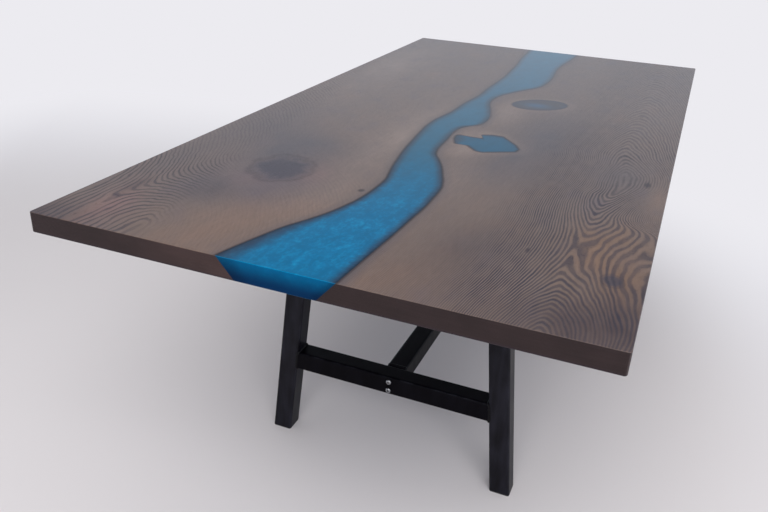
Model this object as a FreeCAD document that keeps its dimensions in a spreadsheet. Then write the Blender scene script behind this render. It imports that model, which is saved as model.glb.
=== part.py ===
"""Live edge dining table: two stained slabs joined by a cast resin river, on a welded steel base.

Millimetres. The origin is on the floor under the middle of the table, +X runs across the top,
+Y runs along it from the front end to the rear end, and +Z is up.
"""
import FreeCAD, Part
import math
import os
import Sketcher
from FreeCAD import Placement, Rotation, Vector

# Name, value and meaning of every driving dimension; these rows fill the spreadsheet.
SIZES = [
    ("table_height", 760, "floor to the top surface"),
    ("top_length", 2120, "the top along Y"),
    ("top_width", 1070, "the top across X"),
    ("top_thickness", 40, "slabs and resin"),
    ("top_corner", 6, "plan radius of the four corners"),
    ("top_arris", 1.5, "rounding of the top's edges"),
    ("drawn_unit", 1, "one unit across in the drawn banks and pool"),
    ("bank_share", 0.68, "river width at the underside over its width at the top"),
    ("pool_rounding", 5, "inside radius of the pool's corners"),
    ("knot_length", 168, "long axis of the filled knot"),
    ("knot_width", 116, "short axis of the filled knot"),
    ("knot_tilt", 38, "degrees from +X to the knot's long axis"),
    ("knot_across", 135, "centre of the knot from the centre line"),
    ("knot_along", 215, "centre of the knot behind the middle of the table"),
    ("knot_depth", 9, "resin depth in the knot"),
    ("tube_size", 50, "outside of the square tube"),
    ("tube_wall", 3, "wall of the square tube"),
    ("tube_inner_radius", 3, "inside corner of the square tube"),
    ("frame_inset", 490, "end of the top to the outer face of a leg frame"),
    ("foot_half_span", 325, "centre line to a leg's outer face at the floor"),
    ("head_half_span", 250, "centre line to a leg's outer face at its head"),
    ("crossbar_top", 250, "floor to the top of the crossbar and the stretcher"),
    ("plate_length", 800, "mounting plate across X"),
    ("plate_width", 100, "mounting plate along Y"),
    ("plate_thickness", 8, "mounting plate"),
    ("plate_corner", 8, "plan radius of the plate's corners"),
    ("slot_length", 22, "slot across X, for the slabs' seasonal movement"),
    ("slot_width", 9, "slot along Y"),
    ("inner_screw_x", 140, "centre line to the inner screws"),
    ("middle_screw_gap", 40, "outer face of a leg's head to the middle screws"),
    ("outer_screw_inset", 30, "end of the mounting plate to the outer screws"),
    ("screw_diameter", 8, "all machine screws and bolts"),
    ("head_diameter", 14, "button head"),
    ("head_height", 4.4, "button head"),
    ("head_rounding", 3.4, "dome of the button head"),
    ("socket_size", 5, "hexagon across its flats"),
    ("socket_depth", 2.6, "hexagon socket"),
    ("washer_diameter", 24, "washer under each top screw"),
    ("washer_thickness", 2, "washer under each top screw"),
    ("insert_diameter", 12, "threaded insert in the slab"),
    ("insert_length", 16, "threaded insert in the slab"),
    ("insert_spare", 4, "hole left beyond the insert"),
    ("thread_gap", 0.1, "radial play of threads and inserts"),
    ("hole_gap", 0.5, "radial play of a bolt through the crossbar"),
    ("end_plate", 8, "tapped plate welded on each end of the stretcher"),
    ("bolt_pitch", 24, "distance between the two stretcher bolts"),
    ("bolt_tip", 2, "bolt that shows beyond the tapped plate"),
    ("glide_flange", 3, "foot of the glide under the tube"),
    ("glide_spigot", 18, "glide inside the tube"),
    ("glide_wall", 2.5, "wall of the glide's spigot"),
    ("glide_gap", 0.2, "play of the spigot in the tube"),
    ("glide_inner_radius", 0.5, "inside corner of the glide's spigot"),
    ("weld_leg", 5, "size of the welds in the corners"),
    ("weld_lap", 2, "weld on each side of a flush seam"),
    ("weld_proud", 1.5, "weld standing above flush faces"),
]

# The banks of the river at the top surface: station, left bank and right bank in drawn units
# from the centre line. A station is a fortieth of the top's length, counted from the front
# end, and the first and last rows lie past the ends of the top.
STATIONS = 40
BANKS = [
    (-1, -143, 84), (0, -135, 86), (2, -107, 91), (3, -90, 94), (4, -66, 97), (6, -33, 101),
    (7, -25, 103), (8, -23, 101), (9, -25, 98), (10, -37, 84), (11, -47, 65), (12, -56, 43),
    (13, -64, 15), (14, -70, 4), (16, -81, -1), (17, -85, -4), (18, -85, 18), (19, -79, 42),
    (20, -71, 41), (21, -68, 30), (22, -67, 15), (23, -62, 0), (24, -56, -3), (25, -54, 6),
    (26, -56, 27), (27, -55, 52), (28, -53, 81), (29, -52, 93), (30, -51, 97), (32, -56, 93),
    (34, -61, 84), (36, -72, 87), (38, -78, 97), (40, -84, 102), (41, -87, 104),
]

# The filled void in the right slab: drawn units from the centre line and station, at the top.
POOL = [
    (10, 16.3), (80, 16.3), (67, 16.85), (92, 17.1), (120, 17.1), (166, 16.05), (181, 15.5),
    (178, 15.05), (108, 14.25), (90, 14.3), (60, 14.9), (29, 14.9), (15, 15.6),
]

# How far a weld's rim is eased, as a share of its height; a weld has no sharp edges.
WELD_EASE = 0.8

# How far a cutting shape reaches past what it cuts, a quarter turn, and what counts as touching.
REACH = 8
QUARTER = math.pi / 2
TOUCH = 0.001
UP = Vector(0, 0, 1)

FRONT = -1
REAR = 1
LEFT = -1
RIGHT = 1
END_NAMES = {FRONT: "front", REAR: "rear"}
SIDE_NAMES = {LEFT: "left", RIGHT: "right"}

# Heights and spans that follow from the sizes, as expressions on the spreadsheet.
UNDERSIDE = "(Sizes.table_height - Sizes.top_thickness)"
LEG_HEAD = f"({UNDERSIDE} - Sizes.plate_thickness)"
LEAN = f"((Sizes.foot_half_span - Sizes.head_half_span) / {LEG_HEAD})"
STRETCH = f"sqrt(1 + {LEAN} ^ 2)"
FRAME_Y = "(Sizes.top_length / 2 - Sizes.frame_inset - Sizes.tube_size / 2)"
TUBE = "Sizes.tube_size"
BORE = "(Sizes.tube_size - 2 * Sizes.tube_wall)"
INNER_RADIUS = "Sizes.tube_inner_radius"
OUTER_RADIUS = "(Sizes.tube_inner_radius + Sizes.tube_wall)"
BAR_MIDDLE = "(Sizes.crossbar_top - Sizes.tube_size / 2)"
SCREW_LENGTH = "(Sizes.washer_thickness + Sizes.plate_thickness + Sizes.insert_length)"
BOLT_LENGTH = "(Sizes.tube_size + Sizes.end_plate + Sizes.bolt_tip)"
SCREW_X = {
    "inner": "Sizes.inner_screw_x",
    "middle": "(Sizes.head_half_span + Sizes.middle_screw_gap)",
    "outer": "(Sizes.plate_length / 2 - Sizes.outer_screw_inset)",
}

doc = FreeCAD.newDocument("live_edge_table")
sheet = doc.addObject("Spreadsheet::Sheet", "Sizes")
nodes = []


def fill_sheet():
    """Write each size, its alias and its meaning on one row of the spreadsheet."""
    for row, (name, value, meaning) in enumerate(SIZES, start=1):
        sheet.set(f"A{row}", name)
        sheet.set(f"B{row}", str(value))
        sheet.set(f"C{row}", meaning)
        sheet.setAlias(f"B{row}", name)
    doc.recompute()


def number(expression):
    """Value of an expression on the spreadsheet, as a plain number."""
    value = sheet.evalExpression(expression)
    return float(getattr(value, "Value", value))


def bind(item, **expressions):
    """Bind properties to expressions; a double underscore stands for a dot."""
    for name, expression in expressions.items():
        item.setExpression(name.replace("__", "."), expression)


# ---------------------------------------------------------------- sketches

def new_body(label):
    """An empty body."""
    body = doc.addObject("PartDesign::Body", label)
    body.Label = label
    return body


def new_sketch(body, role, height="0", across="0", along="0"):
    """A sketch on one of the body's own planes, moved by expressions in the plane's axes."""
    sketch = body.newObject("Sketcher::SketchObject", f"{body.Name}_sketch")
    plane = next(item for item in body.Origin.OriginFeatures if item.Role == role)
    sketch.AttachmentSupport = [(plane, "")]
    sketch.MapMode = "FlatFace"
    bind(sketch, AttachmentOffset__Base__x=across, AttachmentOffset__Base__y=along,
         AttachmentOffset__Base__z=height)
    return sketch


def dimension(sketch, name, expression, *geometry):
    """A named dimension of the sketch, bound to an expression."""
    index = sketch.addConstraint(Sketcher.Constraint(*geometry, number(expression)))
    sketch.renameConstraint(index, name)
    sketch.setExpression(f"Constraints.{name}", expression)


def rounded_rectangle(sketch, name, width, depth, radius):
    """A rectangle with rounded corners, centred on the sketch."""
    right, high, corner = number(width) / 2, number(depth) / 2, number(radius)
    inner_x, inner_y = right - corner, high - corner
    lines = [
        ((-inner_x, -high), (inner_x, -high)), ((right, -inner_y), (right, inner_y)),
        ((inner_x, high), (-inner_x, high)), ((-right, inner_y), (-right, -inner_y)),
    ]
    centres = [(inner_x, -inner_y), (inner_x, inner_y), (-inner_x, inner_y), (-inner_x, -inner_y)]
    first = sketch.GeometryCount
    for turn, (line, centre) in enumerate(zip(lines, centres)):
        ends = [Vector(x, y, 0) for x, y in line]
        sketch.addGeometry(Part.LineSegment(*ends))
        circle = Part.Circle(Vector(*centre, 0), UP, corner)
        start = (turn - 1) * QUARTER
        sketch.addGeometry(Part.ArcOfCircle(circle, start, start + QUARTER))
    for step in range(8):
        here, following = first + step, first + (step + 1) % 8
        sketch.addConstraint(Sketcher.Constraint("Tangent", here, 2, following, 1))
    for line, kind in ((0, "Horizontal"), (2, "Vertical"), (4, "Horizontal"), (6, "Vertical")):
        sketch.addConstraint(Sketcher.Constraint(kind, first + line))
    for arc in (3, 5, 7):
        sketch.addConstraint(Sketcher.Constraint("Equal", first + 1, first + arc))
    sketch.addConstraint(Sketcher.Constraint("Symmetric", first + 1, 3, first + 5, 3, -1, 1))
    dimension(sketch, f"{name}_radius", radius, "Radius", first + 1)
    dimension(sketch, f"{name}_width", width, "DistanceX", first + 6, 1, first + 2, 1)
    dimension(sketch, f"{name}_depth", depth, "DistanceY", first, 1, first + 4, 1)


def centred_circle(sketch, name, diameter):
    """A circle round the sketch's own centre."""
    index = sketch.GeometryCount
    sketch.addGeometry(Part.Circle(Vector(), UP, number(diameter) / 2))
    sketch.addConstraint(Sketcher.Constraint("Coincident", index, 3, -1, 1))
    dimension(sketch, name, diameter, "Diameter", index)


def circle_pair(sketch, diameter, pitch):
    """Two equal circles on the sketch's vertical axis, either side of its centre."""
    radius, offset = number(diameter) / 2, number(pitch) / 2
    for centre in (-offset, offset):
        sketch.addGeometry(Part.Circle(Vector(0, centre, 0), UP, radius))
    sketch.addConstraint(Sketcher.Constraint("Equal", 0, 1))
    sketch.addConstraint(Sketcher.Constraint("PointOnObject", 0, 3, -2))
    sketch.addConstraint(Sketcher.Constraint("Symmetric", 0, 3, 1, 3, -1, 1))
    dimension(sketch, "diameter", diameter, "Diameter", 0)
    dimension(sketch, "pitch", pitch, "DistanceY", 0, 3, 1, 3)


def closed_outline(sketch, points):
    """Straight lines through the points and back to the first one."""
    corners = [Vector(x, y, 0) for x, y in points]
    first = sketch.GeometryCount
    for here, following in zip(corners, corners[1:] + corners[:1]):
        sketch.addGeometry(Part.LineSegment(here, following))
    count = len(corners)
    for step in range(count):
        sketch.addConstraint(
            Sketcher.Constraint("Coincident", first + step, 2, first + (step + 1) % count, 1))


# ---------------------------------------------------------------- features

def pad(body, sketch, length, midplane=False, reversed_=False):
    """Extrude a sketch and add it to the body."""
    feature = body.newObject("PartDesign::Pad", f"{body.Name}_pad")
    feature.Profile = sketch
    feature.Midplane = midplane
    feature.Reversed = reversed_
    bind(feature, Length=length)
    doc.recompute()
    return feature


def lean_along(feature, side):
    """Extrude along the leg's line, which leans towards the centre line going up."""
    feature.UseCustomVector = True
    feature.AlongSketchNormal = True
    feature.Direction = Vector(-side * number(LEAN), 0, 1)
    bind(feature, Direction__x=f"{-side} * {LEAN}", Direction__y="0", Direction__z="1")


def pocket(body, sketch, length=None, midplane=True, reversed_=False):
    """Cut a sketch out of the body, right through where no length is given."""
    before = body.Shape.Volume
    feature = body.newObject("PartDesign::Pocket", f"{body.Name}_pocket")
    feature.Profile = sketch
    feature.Midplane = midplane
    feature.Reversed = reversed_
    if length is None:
        feature.Type = "ThroughAll"
    else:
        bind(feature, Length=length)
    doc.recompute()
    if body.Shape.Volume >= before:
        raise RuntimeError(f"{body.Label}: the pocket cuts nothing")
    return feature


def edge_feature(body, kind, wanted, **sizes):
    """Fillet or chamfer the edges of the body for which wanted(edge) is true."""
    base = body.Tip
    names = [f"Edge{index}" for index, edge in enumerate(base.Shape.Edges, start=1) if wanted(edge)]
    feature = body.newObject(f"PartDesign::{kind}", f"{body.Name}_{kind.lower()}")
    feature.Base = (base, names)
    bind(feature, **sizes)
    doc.recompute()
    return feature


def is_level(edge, axis, place):
    """True where the whole edge lies at one place along an axis (0 for X, 1 for Y, 2 for Z)."""
    low = (edge.BoundBox.XMin, edge.BoundBox.YMin, edge.BoundBox.ZMin)[axis]
    high = (edge.BoundBox.XMax, edge.BoundBox.YMax, edge.BoundBox.ZMax)[axis]
    return abs(low - place) < TOUCH and abs(high - place) < TOUCH


def runs_along(edge, direction):
    """True for a straight edge along a direction."""
    if edge.Curve.TypeId != "Part::GeomLine":
        return False
    return edge.Curve.Direction.cross(direction).Length < TOUCH


def boolean(kind, label, base, *tools):
    """Cut or intersect a base with tools, as one object."""
    tool = tools[0]
    if len(tools) > 1:
        tool = doc.addObject("Part::MultiFuse", f"{label}_tools")
        tool.Shapes = list(tools)
    result = doc.addObject(f"Part::{kind}", label)
    result.Label = label
    result.Base = base
    result.Tool = tool
    doc.recompute()
    return result


def group(label, items):
    """Several separate solids as one object."""
    result = doc.addObject("Part::Compound", label)
    result.Label = label
    result.Links = items
    return result


def place_in_frame(item, end, x="0", y="0", z="0"):
    """Place an item given in a leg frame's own axes, where -Y faces out of the table's end."""
    item.Placement = Placement(Vector(), Rotation(UP, 0 if end == FRONT else 180))
    bind(item, Placement__Base__x=f"{-end} * ({x})",
         Placement__Base__y=f"{end} * ({FRAME_Y} - ({y}))", Placement__Base__z=z)
    return item


def keep(item):
    """Note an object as one of the parts that are written."""
    nodes.append(item)
    return item


# ---------------------------------------------------------------- top

def station_y(station):
    """Distance along Y of a station, from the middle of the table."""
    return (station / STATIONS - 0.5) * number("Sizes.top_length")


def bank_curve(side, below):
    """A smooth curve along one bank of the river, at a depth below the top surface."""
    share = 1 - (1 - number("Sizes.bank_share")) * below / number("Sizes.top_thickness")
    points = []
    unit = number("Sizes.drawn_unit")
    for station, left, right in BANKS:
        middle, half = unit * (left + right) / 2, unit * (right - left) / 2
        points.append(Vector(middle + side * half * share, station_y(station), 0))
    curve = Part.BSplineCurve()
    curve.interpolate(Points=points, Parameters=[point.y for point in points])
    return curve


def bank_region(side):
    """Everything on one side of the river, between its bank and beyond the top's edge."""
    body = new_body(f"{SIDE_NAMES[side]}_bank")
    edge = side * (number("Sizes.top_width") / 2 + REACH)
    sketches = []
    for below in (f"Sizes.top_thickness + {REACH}", f"-{REACH}"):
        sketch = new_sketch(body, "XY_Plane", f"Sizes.table_height - ({below})")
        curve = bank_curve(side, number(below))
        sketch.addGeometry(curve)
        first, last = curve.StartPoint, curve.EndPoint
        outer = [last, Vector(edge, last.y, 0), Vector(edge, first.y, 0), first]
        for here, following in zip(outer, outer[1:]):
            sketch.addGeometry(Part.LineSegment(here, following))
        sketches.append(sketch)
    loft = body.newObject("PartDesign::AdditiveLoft", f"{body.Name}_loft")
    loft.Profile = sketches[0]
    loft.Sections = sketches[1:]
    loft.Ruled = True
    doc.recompute()
    return body


def board():
    """The whole top as one board, with rounded corners and eased edges."""
    body = new_body("board")
    sketch = new_sketch(body, "XY_Plane", UNDERSIDE)
    rounded_rectangle(sketch, "top", "Sizes.top_width", "Sizes.top_length", "Sizes.top_corner")
    pad(body, sketch, "Sizes.top_thickness")
    levels = (number(UNDERSIDE), number("Sizes.table_height"))
    edge_feature(body, "Fillet", lambda edge: any(is_level(edge, 2, z) for z in levels),
                 Radius="Sizes.top_arris")
    return body


def pool():
    """The void in the right slab, which the resin fills from face to face."""
    body = new_body("pool")
    sketch = new_sketch(body, "XY_Plane", "Sizes.table_height")
    unit = number("Sizes.drawn_unit")
    closed_outline(sketch, [(unit * across, station_y(station)) for across, station in POOL])
    pad(body, sketch, "Sizes.top_thickness", reversed_=True)
    edge_feature(body, "Fillet", lambda edge: runs_along(edge, UP), Radius="Sizes.pool_rounding")
    return body


def knot():
    """The shallow oval hollow of a knot, filled with resin."""
    body = new_body("knot")
    sketch = new_sketch(body, "XY_Plane", "Sizes.table_height", "Sizes.knot_across",
                        "Sizes.knot_along")
    bind(sketch, AttachmentOffset__Rotation__Angle="Sizes.knot_tilt")
    halves = number("Sizes.knot_length / 2"), number("Sizes.knot_width / 2")
    sketch.addGeometry(Part.Ellipse(Vector(), *halves))
    sketch.exposeInternalGeometry(0)
    sketch.addConstraint(Sketcher.Constraint("Coincident", 0, 3, -1, 1))
    sketch.addConstraint(Sketcher.Constraint("Horizontal", 1))
    dimension(sketch, "long_axis", "Sizes.knot_length", "Distance", 1, 1, 1, 2)
    dimension(sketch, "short_axis", "Sizes.knot_width", "Distance", 2, 1, 2, 2)
    pad(body, sketch, "Sizes.knot_depth", reversed_=True)
    return body


def insert_holes():
    """The blind holes for the threaded inserts, all in one cutting shape."""
    holes = []
    for end in (FRONT, REAR):
        for x in screw_places():
            hole = doc.addObject("Part::Cylinder", "insert_hole")
            bind(hole, Radius="Sizes.insert_diameter / 2 + Sizes.thread_gap",
                 Height=f"Sizes.insert_length + Sizes.insert_spare + {REACH}")
            holes.append(place_in_frame(hole, end, x, z=f"{UNDERSIDE} - {REACH}"))
    return group("insert_holes", holes)


def make_top():
    """Both slabs, the river between them and the two resin fills of the right slab."""
    whole, left, right = board(), bank_region(LEFT), bank_region(RIGHT)
    void, hollow, holes = pool(), knot(), insert_holes()
    keep(boolean("Cut", "left_slab", boolean("Common", "left_half", whole, left), holes))
    right_half = boolean("Common", "right_half", whole, right)
    keep(boolean("Cut", "right_slab", right_half, void, hollow, holes))
    keep(boolean("Cut", "resin_river", whole, left, right))
    keep(boolean("Common", "resin_pool", right_half, void))
    keep(boolean("Common", "resin_knot_fill", right_half, hollow))


# ---------------------------------------------------------------- base

def inner_face(height):
    """Expression for a leg's inner face at a height, from the centre line."""
    return f"(Sizes.foot_half_span - {LEAN} * ({height}) - {TUBE} * {STRETCH})"


def leg_middle(height):
    """Expression for the middle of a leg's section at a height, from the centre line."""
    return f"(Sizes.foot_half_span - {LEAN} * ({height}) - {TUBE} * {STRETCH} / 2)"


def leg_section(sketch, name, size, radius):
    """The tube's outline as a level cut shows it, a little longer across the lean."""
    rounded_rectangle(sketch, name, f"{size} * {STRETCH}", size, radius)


def leg(label, end, side, hollow=True):
    """A leg of square tube, cut level at the glide and at the mounting plate."""
    body = new_body(label)
    foot = "Sizes.glide_flange"
    place = f"{side} * {leg_middle(foot)}"
    sketch = new_sketch(body, "XY_Plane", foot, place)
    leg_section(sketch, "outside", TUBE, OUTER_RADIUS)
    if hollow:
        leg_section(sketch, "inside", BORE, INNER_RADIUS)
    lean_along(pad(body, sketch, f"{LEG_HEAD} - {foot}"), side)
    return place_in_frame(body, end)


def crossbar_end_outline(sketch):
    """A trapezium between the inner faces of the two legs."""
    low, high = f"(Sizes.crossbar_top - {TUBE})", "Sizes.crossbar_top"
    wide, narrow = number(inner_face(low)), number(inner_face(high))
    bottom, top = number(low), number(high)
    closed_outline(sketch, [(-wide, bottom), (wide, bottom), (narrow, top), (-narrow, top)])
    sketch.addConstraint(Sketcher.Constraint("Symmetric", 0, 1, 0, 2, -2))
    sketch.addConstraint(Sketcher.Constraint("Symmetric", 2, 1, 2, 2, -2))
    dimension(sketch, "lower_edge", f"2 * {inner_face(low)}", "DistanceX", 0, 1, 0, 2)
    dimension(sketch, "upper_edge", f"2 * {inner_face(high)}", "DistanceX", 2, 2, 2, 1)
    dimension(sketch, "bottom", low, "DistanceY", -1, 1, 0, 1)
    dimension(sketch, "depth", TUBE, "DistanceY", 0, 1, 2, 2)


def crossbar(label, end, hollow=True):
    """The square tube between the legs, with its ends cut to their lean and two bolt holes."""
    body = new_body(label)
    outline = new_sketch(body, "XZ_Plane")
    crossbar_end_outline(outline)
    pad(body, outline, TUBE, midplane=True)
    edge_feature(body, "Fillet", lambda edge: runs_along(edge, Vector(1, 0, 0)), Radius=OUTER_RADIUS)
    if hollow:
        bore = new_sketch(body, "YZ_Plane", along=BAR_MIDDLE)
        rounded_rectangle(bore, "inside", BORE, BORE, INNER_RADIUS)
        pocket(body, bore)
        holes = new_sketch(body, "XZ_Plane", along=BAR_MIDDLE)
        circle_pair(holes, "Sizes.screw_diameter + 2 * Sizes.hole_gap", "Sizes.bolt_pitch")
        pocket(body, holes)
    return place_in_frame(body, end)


def slot(sketch, name, centre):
    """A slot across the plate, centred on the sketch's horizontal axis."""
    radius, x = number("Sizes.slot_width") / 2, number(centre)
    reach = number("Sizes.slot_length") / 2 - radius
    first = sketch.GeometryCount
    for sign in (RIGHT, LEFT):
        circle = Part.Circle(Vector(x + sign * reach, 0, 0), UP, radius)
        sketch.addGeometry(Part.ArcOfCircle(circle, -sign * QUARTER, -sign * QUARTER + math.pi))
        ends = [Vector(x + place * reach, sign * radius, 0) for place in (sign, -sign)]
        sketch.addGeometry(Part.LineSegment(*ends))
    for step in range(4):
        here, following = first + step, first + (step + 1) % 4
        sketch.addConstraint(Sketcher.Constraint("Tangent", here, 2, following, 1))
    sketch.addConstraint(Sketcher.Constraint("PointOnObject", first, 3, -1))
    sketch.addConstraint(Sketcher.Constraint("PointOnObject", first + 2, 3, -1))
    dimension(sketch, f"{name}_radius", "Sizes.slot_width / 2", "Radius", first)
    reach_text = "(Sizes.slot_length - Sizes.slot_width)"
    dimension(sketch, f"{name}_reach", reach_text, "DistanceX", first + 2, 3, first, 3)
    dimension(sketch, f"{name}_place", f"{centre} + {reach_text} / 2", "DistanceX", -1, 1, first, 3)


def mounting_plate(label, end):
    """The flat plate on the heads of two legs, slotted for the top's screws."""
    body = new_body(label)
    outline = new_sketch(body, "XY_Plane", LEG_HEAD)
    rounded_rectangle(outline, "plate", "Sizes.plate_length", "Sizes.plate_width",
                      "Sizes.plate_corner")
    pad(body, outline, "Sizes.plate_thickness")
    slots = new_sketch(body, "XY_Plane", LEG_HEAD)
    for name, place in SCREW_X.items():
        slot(slots, name, place)
    cut = pocket(body, slots)
    mirror = body.newObject("PartDesign::Mirrored", f"{body.Name}_mirror")
    mirror.Originals = [cut]
    mirror.MirrorPlane = (slots, ["V_Axis"])
    body.Tip = mirror
    doc.recompute()
    return place_in_frame(body, end)


def glide(label, end, side):
    """The plastic plug in the foot of a leg: a flange under the tube and a hollow spigot in it."""
    body = new_body(label)
    flange = new_sketch(body, "XY_Plane", "0", f"{side} * {leg_middle(0)}")
    leg_section(flange, "flange", TUBE, OUTER_RADIUS)
    lean_along(pad(body, flange, "Sizes.glide_flange"), side)
    height = "Sizes.glide_flange"
    spigot = new_sketch(body, "XY_Plane", height, f"{side} * {leg_middle(height)}")
    outside = f"({BORE} - 2 * Sizes.glide_gap)"
    leg_section(spigot, "outside", outside, INNER_RADIUS)
    leg_section(spigot, "inside", f"({outside} - 2 * Sizes.glide_wall)", "Sizes.glide_inner_radius")
    lean_along(pad(body, spigot, "Sizes.glide_spigot"), side)
    return place_in_frame(body, end)


def stretcher():
    """The square tube along the table between the two end plates."""
    body = new_body("stretcher")
    sketch = new_sketch(body, "XZ_Plane", along=BAR_MIDDLE)
    rounded_rectangle(sketch, "outside", TUBE, TUBE, OUTER_RADIUS)
    rounded_rectangle(sketch, "inside", BORE, BORE, INNER_RADIUS)
    pad(body, sketch, f"2 * ({FRAME_Y} - {TUBE} / 2 - Sizes.end_plate)", midplane=True)
    return body


def end_plate(label, end):
    """The tapped plate that closes one end of the stretcher, against the crossbar."""
    body = new_body(label)
    face = f"-({TUBE} / 2 + Sizes.end_plate)"
    sketch = new_sketch(body, "XZ_Plane", face, along=BAR_MIDDLE)
    rounded_rectangle(sketch, "outside", TUBE, TUBE, OUTER_RADIUS)
    pad(body, sketch, "Sizes.end_plate")
    holes = new_sketch(body, "XZ_Plane", face, along=BAR_MIDDLE)
    circle_pair(holes, "Sizes.screw_diameter + 2 * Sizes.thread_gap", "Sizes.bolt_pitch")
    pocket(body, holes)
    return place_in_frame(body, end)


def hexagon(sketch, across_flats):
    """A regular hexagon centred on the sketch."""
    corner = number(across_flats) / math.sqrt(3)
    angles = [step * math.pi / 3 for step in range(6)]
    closed_outline(sketch, [(corner * math.cos(turn), corner * math.sin(turn)) for turn in angles])
    sketch.addGeometry(Part.Circle(Vector(), UP, corner), True)
    for side in range(6):
        sketch.addConstraint(Sketcher.Constraint("PointOnObject", side, 1, 6))
        if side:
            sketch.addConstraint(Sketcher.Constraint("Equal", 0, side))
    sketch.addConstraint(Sketcher.Constraint("Coincident", 6, 3, -1, 1))
    sketch.addConstraint(Sketcher.Constraint("PointOnObject", 0, 1, -1))
    dimension(sketch, "corner", f"{across_flats} / sqrt(3)", "Radius", 6)


def button_screw(label, length):
    """A button-head screw along +Z, its head below the origin and its shank above."""
    body = new_body(label)
    shank = new_sketch(body, "XY_Plane")
    centred_circle(shank, "shank", "Sizes.screw_diameter")
    pad(body, shank, length)
    head = new_sketch(body, "XY_Plane")
    centred_circle(head, "head", "Sizes.head_diameter")
    pad(body, head, "Sizes.head_height", reversed_=True)
    bottom = -number("Sizes.head_height")
    edge_feature(body, "Fillet", lambda edge: is_level(edge, 2, bottom), Radius="Sizes.head_rounding")
    socket = new_sketch(body, "XY_Plane", "-Sizes.head_height")
    hexagon(socket, "Sizes.socket_size")
    pocket(body, socket, "Sizes.socket_depth", midplane=False, reversed_=True)
    return body


def ring(label, outer, inner, length):
    """A plain ring along +Z from the origin, for washers and threaded inserts."""
    body = new_body(label)
    sketch = new_sketch(body, "XY_Plane")
    centred_circle(sketch, "outer", outer)
    centred_circle(sketch, "inner", inner)
    pad(body, sketch, length)
    return body


def copy_of(master):
    """Another one of a fastener, with a placement of its own."""
    link = doc.addObject("App::Link", f"{master.Name}_copy")
    link.LinkedObject = master
    return link


def screw_places():
    """Distances across the frame of its six top screws, as expressions."""
    return [f"{side} * {place}" for side in (LEFT, RIGHT) for place in SCREW_X.values()]


def make_top_fasteners(end, screw, washer, insert):
    """The screws, washers and threaded inserts that hold one mounting plate to the slabs."""
    levels = (
        ("top_screws", screw, f"({LEG_HEAD} - Sizes.washer_thickness)"),
        ("top_washers", washer, f"({LEG_HEAD} - Sizes.washer_thickness)"),
        ("threaded_inserts", insert, UNDERSIDE),
    )
    for name, master, height in levels:
        copies = [place_in_frame(copy_of(master), end, x, z=height) for x in screw_places()]
        keep(group(f"{END_NAMES[end]}_{name}", copies))


def make_bolts(end, bolt):
    """The two bolts through the crossbar into the stretcher's end plate."""
    copies = []
    for sign in (LEFT, RIGHT):
        link = copy_of(bolt)
        turn = Rotation(Vector(1, 0, 0), -90) if end == FRONT else Rotation(Vector(1, 0, 0), 90)
        link.Placement = Placement(Vector(), turn)
        bind(link, Placement__Base__y=f"{end} * ({FRAME_Y} + {TUBE} / 2)",
             Placement__Base__z=f"{BAR_MIDDLE} + {sign} * Sizes.bolt_pitch / 2")
        copies.append(link)
    keep(group(f"{END_NAMES[end]}_stretcher_bolts", copies))


# ---------------------------------------------------------------- welds

def crossbar_weld(label, end, side, blanks):
    """The weld all round one end of the crossbar, where it meets the leg."""
    body = new_body(f"{label}_collar")
    sketch = new_sketch(body, "XZ_Plane")
    low = f"(Sizes.crossbar_top - {TUBE} - Sizes.weld_leg)"
    high = "(Sizes.crossbar_top + Sizes.weld_leg)"
    on_bar, on_leg = -number("Sizes.weld_lap"), number(f"{OUTER_RADIUS} + Sizes.weld_lap")
    outline = []
    for height, reach in ((low, on_bar), (low, on_leg), (high, on_leg), (high, on_bar)):
        outline.append((side * (number(inner_face(height)) + reach), number(height)))
    closed_outline(sketch, outline)
    pad(body, sketch, f"{TUBE} + 2 * Sizes.weld_proud", midplane=True)
    edge_feature(body, "Fillet", lambda edge: not runs_along(edge, Vector(0, 1, 0)),
                 Radius=f"Sizes.weld_proud * {WELD_EASE}")
    place_in_frame(body, end)
    return boolean("Cut", label, body, *blanks)


def head_weld(label, end, side, blank):
    """The weld round the head of a leg, under the mounting plate."""
    body = new_body(f"{label}_collar")
    sketch = new_sketch(body, "XY_Plane", LEG_HEAD, f"{side} * {leg_middle(LEG_HEAD)}")
    width, depth = f"({TUBE} * {STRETCH} + 2 * Sizes.weld_leg)", f"({TUBE} + 2 * Sizes.weld_leg)"
    rounded_rectangle(sketch, "foot", width, depth, f"({OUTER_RADIUS} + Sizes.weld_leg)")
    pad(body, sketch, "Sizes.weld_leg", reversed_=True)
    bottom = number(f"{LEG_HEAD} - Sizes.weld_leg")
    edge_feature(body, "Chamfer", lambda edge: is_level(edge, 2, bottom),
                 Size=f"Sizes.weld_leg * {WELD_EASE}")
    place_in_frame(body, end)
    return boolean("Cut", label, body, blank)


def stretcher_weld(label, end):
    """The weld bead round the stretcher at its end plate."""
    body = new_body(label)
    seam = f"({TUBE} / 2 + Sizes.end_plate)"
    bead = new_sketch(body, "XZ_Plane", f"-({seam} + Sizes.weld_leg / 2)", along=BAR_MIDDLE)
    outside = f"({TUBE} + 2 * Sizes.weld_proud)"
    rounded_rectangle(bead, "outside", outside, outside, f"({OUTER_RADIUS} + Sizes.weld_proud)")
    pad(body, bead, "Sizes.weld_leg")
    rims = [number(f"{seam} + {sign} * Sizes.weld_leg / 2") for sign in (-1, 1)]
    edge_feature(body, "Fillet", lambda edge: any(is_level(edge, 1, rim) for rim in rims),
                 Radius=f"Sizes.weld_proud * {WELD_EASE}")
    tube = new_sketch(body, "XZ_Plane", f"-{seam}", along=BAR_MIDDLE)
    rounded_rectangle(tube, "inside", TUBE, TUBE, OUTER_RADIUS)
    pocket(body, tube)
    return place_in_frame(body, end)


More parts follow.
